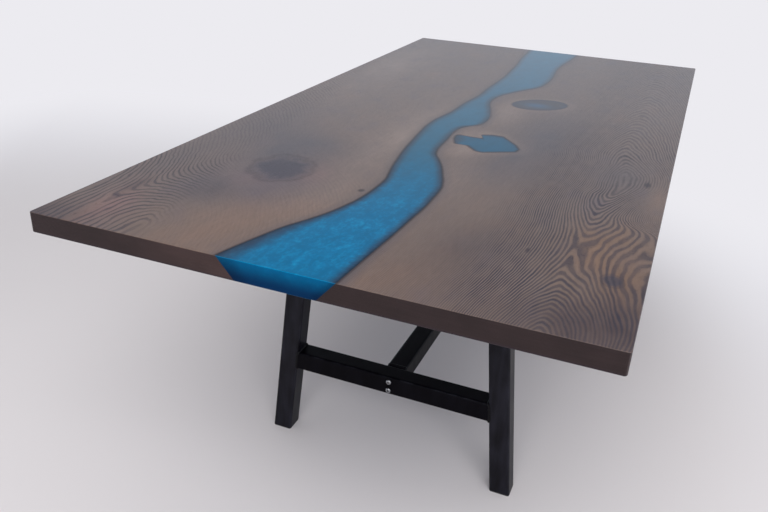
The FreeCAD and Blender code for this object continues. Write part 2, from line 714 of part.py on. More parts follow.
def make_frame(end):
    """One welded leg frame with its glides and welds."""
    name = END_NAMES[end]
    welds, head_welds = [], []
    bar = crossbar(f"{name}_crossbar", end)
    bar_blank = crossbar(f"{name}_crossbar_blank", end, hollow=False)
    keep(bar)
    for side in (LEFT, RIGHT):
        own_side = side * -end
        side_name = f"{name}_{SIDE_NAMES[side]}"
        keep(leg(f"{side_name}_leg", end, own_side))
        keep(glide(f"{side_name}_glide", end, own_side))
        blank = leg(f"{side_name}_leg_blank", end, own_side, hollow=False)
        welds.append(crossbar_weld(f"{side_name}_crossbar_weld", end, own_side, (blank, bar_blank)))
        head_welds.append(head_weld(f"{side_name}_head_weld", end, own_side, blank))
    keep(mounting_plate(f"{name}_mounting_plate", end))
    keep(group(f"{name}_crossbar_welds", welds))
    keep(group(f"{name}_head_welds", head_welds))


def make_stretcher():
    """The stretcher with its end plates and welds."""
    keep(stretcher())
    for end in (FRONT, REAR):
        keep(end_plate(f"{END_NAMES[end]}_stretcher_plate", end))
        keep(stretcher_weld(f"{END_NAMES[end]}_stretcher_weld", end))


def make_fasteners():
    """All screws, bolts, washers and threaded inserts."""
    bore = "(Sizes.screw_diameter + 2 * Sizes.thread_gap)"
    screw = button_screw("top_screw", SCREW_LENGTH)
    bolt = button_screw("stretcher_bolt", BOLT_LENGTH)
    washer = ring("washer", "Sizes.washer_diameter", bore, "Sizes.washer_thickness")
    insert = ring("insert", "Sizes.insert_diameter", bore, "Sizes.insert_length")
    for end in (FRONT, REAR):
        make_top_fasteners(end, screw, washer, insert)
        make_bolts(end, bolt)


# ---------------------------------------------------------------- output

def check_document():
    """Stop where any object failed or any part has no sound shape."""
    doc.recompute()
    for item in doc.Objects:
        if "Invalid" in item.State or "Error" in item.State:
            raise RuntimeError(f"{item.Label} failed: {item.State}")
    for item in nodes:
        shape = Part.getShape(item)
        if shape.isNull() or not shape.isValid() or not shape.Solids:
            raise RuntimeError(f"{item.Label} has no sound solid")


def write_parts():
    """Write each part's shape to a STEP file of its own."""
    os.makedirs("parts", exist_ok=True)
    for item in nodes:
        shape = Part.getShape(item)
        shape.exportStep(os.path.join("parts", f"{item.Label}.step"))
        print(f"{item.Label}: {len(shape.Solids)} solid(s), {shape.Volume:.0f} mm3")


fill_sheet()
make_top()
for frame_end in (FRONT, REAR):
    make_frame(frame_end)
make_stretcher()
make_fasteners()
check_document()
write_parts()
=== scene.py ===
"""Live edge dining table: stains, resin, steel and weld beads, with floor, light and camera.

Metres, in the frame of the construction model: the origin is on the floor under the middle of
the table, +X runs across the top, +Y along it and +Z is up. The finishes work in millimetres.
"""
import math

import bpy
from mathutils import Matrix, Vector


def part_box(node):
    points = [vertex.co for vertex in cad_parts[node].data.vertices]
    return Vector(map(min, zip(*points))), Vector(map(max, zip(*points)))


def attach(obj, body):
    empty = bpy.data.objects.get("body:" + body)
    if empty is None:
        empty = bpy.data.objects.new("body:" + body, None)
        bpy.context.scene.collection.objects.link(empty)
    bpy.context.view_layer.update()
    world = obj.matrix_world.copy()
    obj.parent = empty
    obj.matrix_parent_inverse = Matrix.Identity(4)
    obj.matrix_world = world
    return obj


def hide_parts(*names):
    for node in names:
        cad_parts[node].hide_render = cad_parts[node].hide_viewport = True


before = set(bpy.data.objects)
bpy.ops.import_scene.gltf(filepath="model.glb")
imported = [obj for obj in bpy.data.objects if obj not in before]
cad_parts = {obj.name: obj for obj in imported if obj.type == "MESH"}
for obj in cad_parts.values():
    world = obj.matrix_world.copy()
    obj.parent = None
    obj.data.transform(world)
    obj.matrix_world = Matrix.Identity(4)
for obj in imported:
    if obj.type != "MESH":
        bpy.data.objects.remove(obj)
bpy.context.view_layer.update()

bl_info = {
    "name": "Live Edge Dining Table",
    "version": (1, 0, 0),
    "blender": (4, 5, 0),
    "location": "View3D > Sidebar > Table",
    "description": "Finishes a live edge table with a resin river on a welded steel base",
    "category": "Object",
}

MM = 1000
FRONT, REAR = -1, 1
LEFT, RIGHT = -1, 1
END_NAMES = {FRONT: "front", REAR: "rear"}
X_AXIS, Y_AXIS, Z_AXIS = 0, 1, 2

TOP_LOW, TOP_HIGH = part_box("left_slab")
RIVER_LOW, RIVER_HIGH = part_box("resin_river")
THICKNESS = (TOP_HIGH.z - TOP_LOW.z) * MM
FRONT_Y = TOP_LOW.y
TOP_Z = TOP_HIGH.z


# ---- properties

def colour_of(red, green, blue):
    """Linear colour from the usual 0 to 255 screen values."""
    linear = []
    for value in (red, green, blue):
        part = value / 255
        linear.append(part / 12.92 if part <= 0.04045 else ((part + 0.055) / 1.055) ** 2.4)
    return tuple(linear)


def paint(name, description, *screen):
    """A colour property."""
    return bpy.props.FloatVectorProperty(
        name=name, description=description, subtype="COLOR", size=3, min=0, max=1,
        default=colour_of(*screen))


def position(name, description, *metres):
    """A place property."""
    return bpy.props.FloatVectorProperty(
        name=name, description=description, subtype="TRANSLATION", default=metres)


def quantity(name, description, default, **settings):
    """A number property; settings say of what kind."""
    return bpy.props.FloatProperty(name=name, description=description, default=default, **settings)


def share(name, description, default):
    """A property from 0 to 1."""
    return quantity(name, description, default, subtype="FACTOR", min=0, max=1)


def length(name, description, default):
    """A length property in metres."""
    return quantity(name, description, default, subtype="DISTANCE", unit="LENGTH", precision=4)


def angle(name, description, degrees):
    """An angle property, given in degrees."""
    return quantity(name, description, math.radians(degrees), subtype="ANGLE", unit="ROTATION")


class WoodFinish(bpy.types.PropertyGroup):
    """Colours and gloss of the stained slabs."""
    plain: paint("Plain wood", "Stained wood between the rings", 109, 94, 87)
    warm: paint("Warm wood", "Browner patches", 118, 97, 86)
    mauve: paint("Mauve wood", "Cooler patches", 98, 86, 88)
    rose: paint("Rosy wood", "Pinker patches of the left slab", 124, 98, 94)
    pale: paint("Pale wood", "Beige patches by the river", 134, 117, 108)
    gold: paint("Golden wood", "Wide rings near the right edge", 118, 93, 77)
    grey: paint("Grey wood", "Blue-grey mineral stain", 86, 79, 82)
    dark: paint("Dark wood", "Brown patches at the front", 74, 61, 61)
    knot: paint("Knots", "Blue-black heart of a knot", 58, 55, 66)
    line: paint("Ring lines", "Pores of each ring, where the stain collects", 48, 45, 56)
    # The seam colour also paints shade on the lower arrises and darkens the bottom of the ends and
    # sides.
    seam: paint("Seam", "Dark line beside the resin", 40, 31, 36)
    end_grain: paint("End grain", "Ends of the slabs", 38, 28, 28)
    sawn: paint("Warm end grain", "End of the left slab near the river", 62, 46, 44)
    roughness: share("Roughness", "Satin lacquer", 0.34)
    gloss: share("Gloss", "Strength of the lacquer's reflection", 0.15)
    pore_depth: length("Pore depth", "Relief of the brushed grain", 0.00018)


class ResinFinish(bpy.types.PropertyGroup):
    """Colours and gloss of the cast resin."""
    bright: paint("Pearl blue", "Resin lit from above", 1, 100, 143)
    calm: paint("Calm blue", "Greyer resin beyond the first bend", 18, 83, 107)
    # Also the colour of the painted highlight on the resin's rounded arrises.
    shimmer_and_highlight: paint("Shimmer", "Pearl pigment that catches the light", 8, 132, 178)
    deep: paint("Deep blue", "Resin seen from the end", 1, 32, 64)
    rim: paint("Rim", "Thin resin over the dark banks", 42, 42, 54)
    knot: paint("Knot fill", "Resin over the dark knot", 56, 46, 46)
    roughness: share("Roughness", "Satin finish", 0.28)
    gloss: share("Gloss", "Strength of the reflection", 0.11)
    ripple: length("Ripple", "Unevenness of the cast surface", 0.0002)


class SteelFinish(bpy.types.PropertyGroup):
    """Black satin steel of the base."""
    black: paint("Black", "Satin black coat", 3, 2, 5)
    # Mill scale, which on the legs also stands for a painted reflection of the pale room.
    scale: paint("Mill scale", "Bluish scale that shows through the coat", 31, 30, 38)
    worn: paint("Worn edge", "Coat rubbed thin on the corners", 48, 49, 55)
    roughness: share("Roughness", "Satin coat", 0.4)
    gloss: share("Gloss", "Strength of the reflection on the legs", 0.12)
    bar_gloss: share("Gloss of the bars", "Strength of the reflection on the bars", 0.05)
    # More scale colour on the legs is painted reflection; less of it on the bars is painted shade
    # under the top.
    leg_scale_and_sheen: share("Scale on the legs", "How clearly mill scale shows on the legs", 0.8)
    bar_scale_and_sheen: share("Scale on the bars", "How clearly mill scale shows on the bars", 0.1)
    ripple: length("Ripple", "Unevenness of the coat", 0.0001)


class FittingFinish(bpy.types.PropertyGroup):
    """Fasteners and glides."""
    stainless: paint("Stainless steel", "Bolt heads", 148, 148, 150)
    zinc: paint("Zinc", "Screws and washers under the top", 150, 152, 156)
    brass: paint("Brass", "Threaded inserts", 176, 140, 78)
    plastic: paint("Plastic", "Glides in the feet", 24, 24, 25)


class WeldSizes(bpy.types.PropertyGroup):
    """Sizes of the weld beads."""
    pitch: length("Pitch", "From one ripple to the next", 0.0024)
    fillet: length("Fillet", "Radius of a bead in a corner", 0.0034)
    seam_width: length("Seam width", "Half width of a bead over a flush seam", 0.0036)
    proud: length("Proud", "Height of a bead over flush faces", 0.0012)
    skin: length("Skin", "Size of the mesh that joins the ripples", 0.00055)


class StudioSettings(bpy.types.PropertyGroup):
    """Floor, light and camera."""
    floor_size: length("Floor", "Width of the floor", 60)
    floor: paint("Floor colour", "Pale floor round the table", 219, 214, 215)
    distance: paint("Distance", "Pale background", 236, 235, 240)
    horizon: paint("Horizon", "Cool light low in the room", 226, 238, 255)
    walls: paint("Upper walls", "Dimmer band above the background", 70, 70, 75)
    zenith: paint("Overhead", "Bright ceiling", 208, 207, 206)
    room_light: quantity("Room light", "Strength of the light from the room", 1.58)
    key_power: quantity("Key light", "Power of the soft light from the right", 190, subtype="POWER")
    key_size: length("Key size", "Width of the soft light", 4.0)
    key_place: position("Key place", "Place of the soft light", 1.4, -3.7, 3.1)
    key_aim: position("Key aim", "Where the soft light points", 0, 0, 0.4)
    camera: position("Camera", "Place of the camera", 0.538117, -2.0123006, 1.319991)
    lens: quantity("Lens", "Focal length", 35.8444, unit="CAMERA")
    sensor: quantity("Sensor", "Width of the sensor", 36, unit="CAMERA")
    yaw: angle("Yaw", "Camera turned to the left of +Y", 21.394)
    pitch: angle("Pitch", "Camera turned down", 25.806)
    roll: angle("Roll", "Camera turned about its own axis", 2.527)


# ---- node helpers

def node_step(operation, flipped=False):
    """A method that adds one step of arithmetic; flipped puts the other number first."""
    def method(self, *others):
        values = (*others, self) if flipped else (self, *others)
        return self.finish.math(operation, *values)
    return method


class Value:
    """What a node gives; arithmetic on it adds more nodes to the same material."""

    def __init__(self, finish, socket):
        self.finish = finish
        self.socket = socket

    __add__ = __radd__ = node_step("ADD")
    __sub__ = node_step("SUBTRACT")
    __rsub__ = node_step("SUBTRACT", flipped=True)
    __mul__ = __rmul__ = node_step("MULTIPLY")
    __truediv__ = node_step("DIVIDE")
    __pow__ = node_step("POWER")
    __abs__ = node_step("ABSOLUTE")


class Finish:
    """A procedural material on object coordinates, given in millimetres."""

    def __init__(self, name, roughness, gloss=0.5, metallic=0.0):
        self.material = bpy.data.materials.new(name)
        self.material.use_nodes = True
        self.tree = self.material.node_tree
        self.shader = self.tree.nodes["Principled BSDF"]
        self.shader.inputs["Specular IOR Level"].default_value = gloss
        self.shader.inputs["Metallic"].default_value = metallic
        self.shader.inputs["Roughness"].default_value = roughness
        self.place = self.node("ShaderNodeTexCoord").outputs["Object"]
        self.x, self.y, self.z = (axis * MM for axis in self.split(self.place))
        self.facing = self.split(self.node("ShaderNodeNewGeometry").outputs["Normal"])
        self.along = self.y - FRONT_Y * MM
        self.depth = TOP_Z * MM - self.z

    def node(self, kind, values=(), **settings):
        """A new node: values feed its first sockets and settings are its own properties."""
        made = self.tree.nodes.new(kind)
        for name, value in settings.items():
            setattr(made, name, value)
        for socket, value in zip(made.inputs, values):
            self.feed(socket, value)
        return made

    def feed(self, socket, value):
        """Link a value to a socket, or write a plain one in it."""
        if isinstance(value, Value):
            value = value.socket
        if isinstance(value, bpy.types.NodeSocket):
            self.tree.links.new(value, socket)
        elif socket.type == "RGBA":
            socket.default_value = (*value[:3], 1)
        else:
            socket.default_value = value

    def math(self, operation, *values):
        """One step of arithmetic."""
        return Value(self, self.node("ShaderNodeMath", values, operation=operation).outputs[0])

    def split(self, vector):
        """The three parts of a vector."""
        made = self.node("ShaderNodeSeparateXYZ", (vector,))
        return [Value(self, socket) for socket in made.outputs]

    def smooth(self, value, low, high):
        """0 at low and 1 at high, easing between them; low may be the larger number."""
        made = self.node("ShaderNodeMapRange", (value, low, high, 0.0, 1.0),
                         interpolation_type="SMOOTHSTEP")
        return Value(self, made.outputs[0])

    def mix(self, amount, first, second):
        """A colour between two colours."""
        made = self.node("ShaderNodeMix", data_type="RGBA")
        # The colours' sockets follow those for numbers and vectors.
        for socket, item in zip((0, 6, 7), (amount, first, second)):
            self.feed(made.inputs[socket], item)
        return Value(self, made.outputs[2])

    def either(self, amount, first, second):
        """A shader between two shaders."""
        return self.node("ShaderNodeMixShader", (amount, first, second)).outputs[0]

    def tint(self, colour, brightness):
        """A colour made lighter or darker by a value about 1."""
        made = self.node("ShaderNodeVectorMath", (colour,), operation="SCALE")
        self.feed(made.inputs["Scale"], brightness)
        return Value(self, made.outputs[0])

    def noise_at(self, place, detail):
        """Smooth noise from about -1 to 1 at a place."""
        made = self.node("ShaderNodeTexNoise")
        for name, item in (("Vector", place), ("Scale", 1.0), ("Detail", detail)):
            self.feed(made.inputs[name], item)
        return (Value(self, made.outputs[0]) - 0.5) * 2.0

    def noise(self, size, detail=1.0, seed=0.0):
        """Noise with a size along each axis."""
        scale = [MM / item for item in size]
        stretched = self.node("ShaderNodeVectorMath", (self.place, scale, [seed, seed, seed]),
                              operation="MULTIPLY_ADD")
        return self.noise_at(stretched.outputs[0], detail)

    def grain(self, rings, fine, long, detail=1.0, seed=0.0):
        """Noise drawn out along the wood's fibres: so many to a ring, and so long."""
        parts = (rings * fine, self.y / long, self.z / long + seed)
        return self.noise_at(self.node("ShaderNodeCombineXYZ", parts).outputs[0], detail)

    def spot(self, across, along, wide, long, turn=0.0):
        """A soft patch of the top: 1 in its middle and fading out; turn is in degrees."""
        side, ahead = self.x - across, self.along - along
        sine, cosine = math.sin(math.radians(turn)), math.cos(math.radians(turn))
        first = (side * cosine + ahead * sine) / wide
        second = (ahead * cosine - side * sine) / long
        return self.math("EXPONENT", (first * first + second * second) * -1.0)

    def spots(self, patches):
        """Several soft patches together; each row ends with its strength."""
        total = 0.0
        for *patch, strength in patches:
            total = self.spot(*patch) * strength + total
        return total

    def curve(self, value, points):
        """A smooth curve through points whose first numbers rise."""
        starts, heights = zip(*points)
        low, high = min(heights), max(heights)
        made = self.node("ShaderNodeFloatCurve")
        line = made.mapping.curves[0]
        for _ in points[2:]:
            line.points.new(0.5, 0.5)
        span = starts[-1] - starts[0]
        for item, (start, height) in zip(line.points, points):
            item.location = ((start - starts[0]) / span, (height - low) / (high - low))
        made.mapping.update()
        self.feed(made.inputs["Value"], (value - starts[0]) / span)
        return Value(self, made.outputs[0]) * (high - low) + low

    def relief(self, height, distance):
        """Raise and sink the surface by a value between 0 and 1 times a distance in metres."""
        bump = self.node("ShaderNodeBump")
        self.feed(bump.inputs["Distance"], distance)
        self.feed(bump.inputs["Height"], height)
        self.feed(self.shader.inputs["Normal"], bump.outputs[0])

    def faces(self, axis, low=0.55, high=0.9):
        """1 where the surface faces along an axis, either way."""
        return self.smooth(abs(self.facing[axis]), low, high)

    def worn(self, low, high):
        """1 on rounded edges, where no part of the normal is near 1."""
        across, along, up = (abs(part) for part in self.facing)
        largest = self.math("MAXIMUM", self.math("MAXIMUM", across, along), up)
        return self.smooth(1.0 - largest, low, high)

    def paint(self, colour, roughness=None):
        """Set the colour and, where it varies, the roughness."""
        self.feed(self.shader.inputs["Base Color"], colour)
        if roughness is not None:
            self.feed(self.shader.inputs["Roughness"], roughness)
        return self.material


def put_on(material, *names):
    """Give CAD nodes a material."""
    for name in names:
        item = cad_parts[name]
        if not item.material_slots:
            item.data.materials.append(material)
        for slot in item.material_slots:
            slot.material = material


# ---- outlines read from the model

READ_DEPTH = 0.0003        # how far below the top the outlines are read, in metres
BANK_STEPS = 42
BANK_INSET = 0.003         # from each end of the river to the first station, in metres
ROUND_STEPS = 64


def bank_points(side):
    """One bank of the river at the top: distance from the front end and across, in millimetres."""
    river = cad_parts["resin_river"]
    reach = RIVER_HIGH.y - RIVER_LOW.y - 2 * BANK_INSET
    points = []
    for step in range(BANK_STEPS + 1):
        y = RIVER_LOW.y + BANK_INSET + reach * step / BANK_STEPS
        start = Vector((side, y, TOP_Z - READ_DEPTH))
        hit, place, _, _ = river.ray_cast(start, Vector((-side, 0, 0)))
        if not hit:
            raise RuntimeError("the river has no bank at a station")
        points.append(((y - FRONT_Y) * MM, place.x * MM))
    return points


def outline_points(name, centre):
    """The outline of a filled hollow: its radius in millimetres at each turn about a centre."""
    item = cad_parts[name]
    points = []
    for step in range(ROUND_STEPS + 1):
        turn = 2 * math.pi * step / ROUND_STEPS - math.pi
        out = Vector((math.cos(turn), math.sin(turn), 0))
        start = Vector((centre[0] / MM, centre[1] / MM + FRONT_Y, TOP_Z - READ_DEPTH)) + out
        hit, place, _, _ = item.ray_cast(start, -out)
        if not hit:
            raise RuntimeError(f"{name} has no outline at a turn")
        points.append((turn, (1 - (start - place).length) * MM))
    return points


# Centres of the two filled hollows: across and along from the front end, in millimetres.
POOL_CENTRE = (120, 820)
KNOT_CENTRE = (135, 1275)
BANK_TAPER = 0.32          # how much narrower the river is at the underside

BANKS = {side: bank_points(side) for side in (LEFT, RIGHT)}
POOL_OUTLINE = outline_points("resin_pool", POOL_CENTRE)
KNOT_OUTLINE = outline_points("resin_knot_fill", KNOT_CENTRE)


class TopFinish(Finish):
    """A finish that knows where the banks, the pool and the filled knot lie."""

    def inside_river(self):
        """Distance inside the river's banks, less than 0 in the wood."""
        left, right = self.curve(self.along, BANKS[LEFT]), self.curve(self.along, BANKS[RIGHT])
        half = (right - left) * 0.5 * (1.0 - self.depth * (BANK_TAPER / THICKNESS))
        return half - abs(self.x - (left + right) * 0.5)

    def inside_hollow(self, centre, points):
        """Distance inside a filled hollow's outline, less than 0 in the wood."""
        side, ahead = self.x - centre[0], self.along - centre[1]
        radius = self.math("SQRT", side * side + ahead * ahead)
        return self.curve(self.math("ARCTAN2", ahead, side), points) - radius


# ---- slabs

# Distances from the front end and, at each, the right slab's pith: its place across, how many
# rings lie between it and the surface, and how closely the rings follow on its outer side.
PITH_ACROSS = [
    (0, 405), (150, 407), (314, 409), (450, 412), (600, 425), (720, 440), (850, 430),
    (960, 419), (1300, 421), (2120, 424),
]
PITH_RINGS = [
    (0, 9), (25, 10.4), (57, 12.6), (90, 14.8), (125, 17), (160, 18.8), (200, 20.2), (250, 21.3),
    (314, 21.9), (379, 21.3), (421, 20.2), (447, 19.2), (467, 18.3), (496, 17.2), (516, 16.3),
    (545, 15.2), (577, 14), (640, 12.4), (720, 11.5), (779, 12.8), (805, 14), (950, 19),
    (1200, 27), (1500, 36), (2120, 54),
]
PITH_SPREAD = [
    (0, 0.75), (100, 0.6), (200, 0.45), (314, 0.38), (400, 0.42), (470, 0.85), (560, 1.15),
    (700, 0.8), (2120, 0.8),
]
RING_WIDTH = 3.7
POINTED = 1.6              # 2 would make the knees of the rings round

# Patches of each slab by colour: across, along, half width, half length, turn in degrees and
# strength.
LEFT_PATCHES = {
    "warm": [
        (-190, 120, 110, 190, 0, 0.9), (-445, 85, 22, 110, 5, 1.0), (-200, 700, 90, 120, 0, 0.2),
        (-215, 535, 55, 45, 0, 0.6), (-118, 258, 45, 60, -20, 0.9),
    ],
    "mauve": [(-250, 430, 125, 110, 15, 0.7), (-230, 320, 100, 90, 20, 1.0)],
    "rose": [
        (-430, 80, 50, 110, 10, 0.7), (-170, 430, 40, 60, 0, 0.4), (-300, 330, 60, 40, 20, 0.35),
    ],
    "pale": [
        (-100, 330, 50, 110, -15, 0.25), (-105, 780, 65, 300, 0, 0.65),
        (-440, 1550, 90, 350, 0, 0.5),
    ],
    "grey": [
        (-300, 570, 75, 130, 20, 0.65), (-330, 262, 60, 85, 20, 0.9),
        (-420, 700, 120, 260, 15, 0.5), (-490, 400, 50, 220, 0, 0.3),
        (-230, 600, 110, 110, 0, 0.45),
    ],
    "dark": [
        (-515, 0, 80, 70, 0, 0.75), (-455, 200, 14, 45, 0, 0.5), (-315, 250, 45, 50, 0, 0.35),
    ],
}
RIGHT_PATCHES = {
    "warm": [(160, 60, 110, 90, 0, 0.5), (522, 640, 26, 150, 0, 0.5), (90, 800, 70, 110, 0, 0.5)],
    "pale": [
        (310, 130, 60, 90, 0, 0.4), (110, 560, 50, 150, 0, 0.3), (66, 755, 40, 50, 0, 0.9),
        (60, 900, 40, 40, 0, 0.5), (75, 1130, 50, 110, 0, 0.6),
    ],
    "gold": [(430, 330, 50, 120, 0, 0.9), (500, 250, 50, 170, 0, 0.8)],
    "grey": [
        (230, 240, 50, 60, 0, 0.35), (220, 960, 90, 230, 0, 0.8), (180, 690, 80, 150, 0, 0.6),
        (430, 735, 60, 100, 0, 0.6),
    ],
    "dark": [
        (470, 30, 110, 80, 0, 0.8), (515, 120, 60, 130, 0, 0.4), (240, 180, 90, 160, 0, 0.35),
    ],
}

# Dark knots and specks: across, along, half width, half length and turn. Specks are browner.
SPECK_WIDTH = 12
LEFT_KNOTS = [(-252, 432, 72, 88, 20), (-43, 388, 8, 10, 0)]
RIGHT_KNOTS = [(481, 209, 20, 26, 10), (491, 710, 9, 22, 0), (330, 262, 5, 14, 0)]

# Half width of a ring line, as a share of the ring.
LEFT_LINE, RIGHT_LINE = 0.31, 0.4


def right_rings(finish):
    """Ring count at each point of the right slab, from a pith that dips below the surface."""
    pith = finish.curve(finish.along, PITH_ACROSS)
    rings = finish.curve(finish.along, PITH_RINGS) - finish.depth / RING_WIDTH
    aside = finish.x - pith
    outer = finish.math("MAXIMUM", aside, 0.0) * finish.curve(finish.along, PITH_SPREAD)
    side = (outer + finish.math("MINIMUM", aside, 0.0)) / RING_WIDTH
    count = (abs(side) ** POINTED + rings ** POINTED) ** (1 / POINTED)
    eye = finish.spot(500, 240, 60, 150) * 3.2 - finish.spot(545, 330, 50, 60) * 1.4
    return count + eye


def arch_rings(finish, across, along, wide, long):
    """Rings that run straight from the front end and arch over beyond a distance along."""
    side = (finish.x - across) / wide
    ahead = finish.math("SMOOTH_MAX", finish.along - along, 0.0, 40.0) / long
    return finish.math("SQRT", side * side + ahead * ahead)


def left_rings(finish):
    """Ring count of the left slab: two arched figures side by side and a knot beyond them."""
    outer = arch_rings(finish, across=-585, along=150, wide=12, long=38)
    inner = arch_rings(finish, across=-322, along=55, wide=13.5, long=22) + 1.0
    both = finish.math("SMOOTH_MIN", outer, inner, 4.0)
    beyond = (finish.x + 500) * 0.75 + (finish.along - 270) * 0.66
    slope = finish.math("SMOOTH_MAX", beyond, 0.0, 60.0) * 0.055
    return both + slope + finish.spot(-255, 432, 96, 105) * 5.0 - finish.depth * 0.12


def ring_lines(finish, rings, half_line, line_share_of):
    """A dark line to each ring, no two of them quite alike."""
    phase = finish.math("FRACT", rings)
    line = finish.smooth(abs(phase - 0.5), half_line, half_line * 0.25)
    each = finish.node("ShaderNodeTexWhiteNoise", noise_dimensions="1D")
    finish.feed(each.inputs["W"], finish.math("FLOOR", rings))
    uneven = Value(finish, each.outputs["Value"]) * 0.3 + finish.noise((26, 50, 26), 1, 8) * 0.35
    return line * (uneven + 0.6) * line_share_of(finish)


def stained_ground(finish, settings, cloud, patches, knots):
    """The stain between the rings: cloudy, with patches and knots."""
    base = finish.mix(finish.smooth(cloud, 0.0, 0.7) * 0.65, settings.plain, settings.warm)
    base = finish.mix(finish.smooth(cloud, 0.0, -0.7) * 0.85, base, settings.mauve)
    for colour, rows in patches.items():
        amount = finish.spots(rows) * (1.0 + cloud * 0.9)
        base = finish.mix(amount, base, getattr(settings, colour))
    ragged = finish.noise((34, 40, 34), 3, 6) * 0.6
    for row in knots:
        heart = finish.spot(*row) * (1.0 + ragged)
        colour = settings.seam if row[2] < SPECK_WIDTH else settings.knot
        base = finish.mix(finish.smooth(heart, 0.3, 0.8) * 0.8, base, colour)
        border = finish.smooth(abs(heart - 0.4), 0.12, 0.0) * 0.3
        base = finish.mix(border, base, settings.seam)
    return base


def beside_resin(finish, settings, base, inside, cloud):
    """Paler wood round the hollows and greyer wood by the river, with a dark seam at the resin."""
    hollow = finish.math("MAXIMUM", finish.inside_hollow(POOL_CENTRE, POOL_OUTLINE),
                         finish.inside_hollow(KNOT_CENTRE, KNOT_OUTLINE))
    base = finish.mix(finish.smooth(hollow + cloud * 14.0, -44, -2) * 0.25, base, settings.pale)
    greyer = finish.spot(110, 20, 50, 170) * 0.4 + 0.5
    base = finish.mix(finish.smooth(inside + cloud * 6.0, -28, 0) * greyer, base, settings.grey)
    nearest = finish.math("MAXIMUM", inside, hollow)
    strength = 0.85 - finish.smooth(finish.along, 600, 1200) * 0.35
    return finish.mix(finish.smooth(nearest, -7, -0.5) * strength, base, settings.seam)


def cut_faces(finish, settings, base, inside):
    """End grain on the ends, much the same on the long sides, worn upper arrises and painted shade
    on lower ones.
    """
    streak = finish.noise((90, 30, 1.3), 3, 3) * 0.3 + finish.noise((45, 45, 25), 2, 4) * 0.25
    warmth = finish.smooth(inside, -260, 0) * finish.smooth(finish.x, 60, -60) * 0.6
    edge = finish.mix(warmth, settings.end_grain, settings.sawn)
    # End grain streaks, with painted light and shade across: the ends a little lighter to the left
    # and darker to the right.
    edge = finish.tint(edge, 1.03 + streak - finish.x * 0.0001)
    low = finish.smooth(finish.depth, THICKNESS - 7, THICKNESS)
    edge = finish.mix(low * 0.8, edge, settings.seam)
    base = finish.mix(finish.faces(Y_AXIS), base, edge)
    base = finish.mix(finish.faces(X_AXIS) * 0.75, base, edge)
    arris, up = finish.worn(0.06, 0.2), finish.facing[Z_AXIS]
    base = finish.mix(arris * finish.smooth(up, 0.3, 0.5) * 0.3, base, settings.plain)
    # Painted shade: the lower arrises darkened with the seam colour.
    return finish.mix(arris * finish.smooth(up, -0.2, -0.4) * 0.8, base, settings.seam)


def stained_wood(name, settings, rings_of, line_share_of, half_line, patches, knots):
    """The stained, brushed hardwood of one slab."""
    finish = TopFinish(name, settings.roughness, settings.gloss)
    wobble = finish.noise((30, 90, 30), 1) * 0.8 + finish.noise((8, 22, 9), 1, 5) * 0.14
    rings = rings_of(finish) + wobble
    line = ring_lines(finish, rings, half_line, line_share_of)
    fibre = finish.grain(rings, 9, 45, 3)
    pores = finish.smooth(finish.grain(rings, 15, 9, 2, 9), 0.16, 0.36)
    cloud = finish.noise((60, 110, 60), 3, 4)
    inside = finish.inside_river()

    base = stained_ground(finish, settings, cloud, patches, knots)
    base = finish.mix(line, base, settings.line)
    base = finish.tint(base, 1.0 + fibre * 0.2 + finish.noise((5, 30, 9), 2, 7) * 0.15)
    base = finish.mix(pores * (line * 0.4 + 0.14), base, settings.line)
    base = beside_resin(finish, settings, base, inside, cloud)
    base = cut_faces(finish, settings, base, inside)
    finish.relief(0.6 - pores * 0.35 - line * 0.3 + fibre * 0.15, settings.pore_depth)
    return finish.paint(base, settings.roughness + line * 0.08 + pores * 0.1)


def right_line_share(finish):
    """How clear the ring lines are on the right slab: faint by the river and past the knees."""
    fading = 0.9 - finish.smooth(finish.along, 700, 1350) * 0.6
    clear = finish.smooth(finish.x, 200, 305) * fading
    clear = clear + finish.spot(180, 40, 80, 100) * 0.25 + 0.1
    plain = finish.spot(520, 600, 32, 110) * 0.9 + finish.spot(440, 760, 90, 110) * 0.55
    softer = finish.spot(440, 0, 140, 70) * 0.35 + finish.spot(470, 290, 80, 130) * 0.25
    return clear * (1.0 - plain) * (1.0 - softer) * (finish.spot(320, 110, 60, 90) * 0.5 + 1.0)


def left_line_share(finish):
    """How clear the ring lines are on the left slab: faint by the river and past the knot."""
    clear = finish.smooth(finish.x + finish.along * 0.12, -285, -345) * 0.7 + 0.09
    arcs = finish.spot(-180, 370, 90, 80, -30) * 0.1
    return clear * (1.0 - finish.smooth(finish.along, 330, 520) * 0.6) + arcs


# ---- resin

def cast_surface(finish, settings):
    """The slight unevenness of cast resin."""
    finish.relief(0.5 + finish.noise((40, 60, 40), 1, 8) * 0.3, settings.ripple)


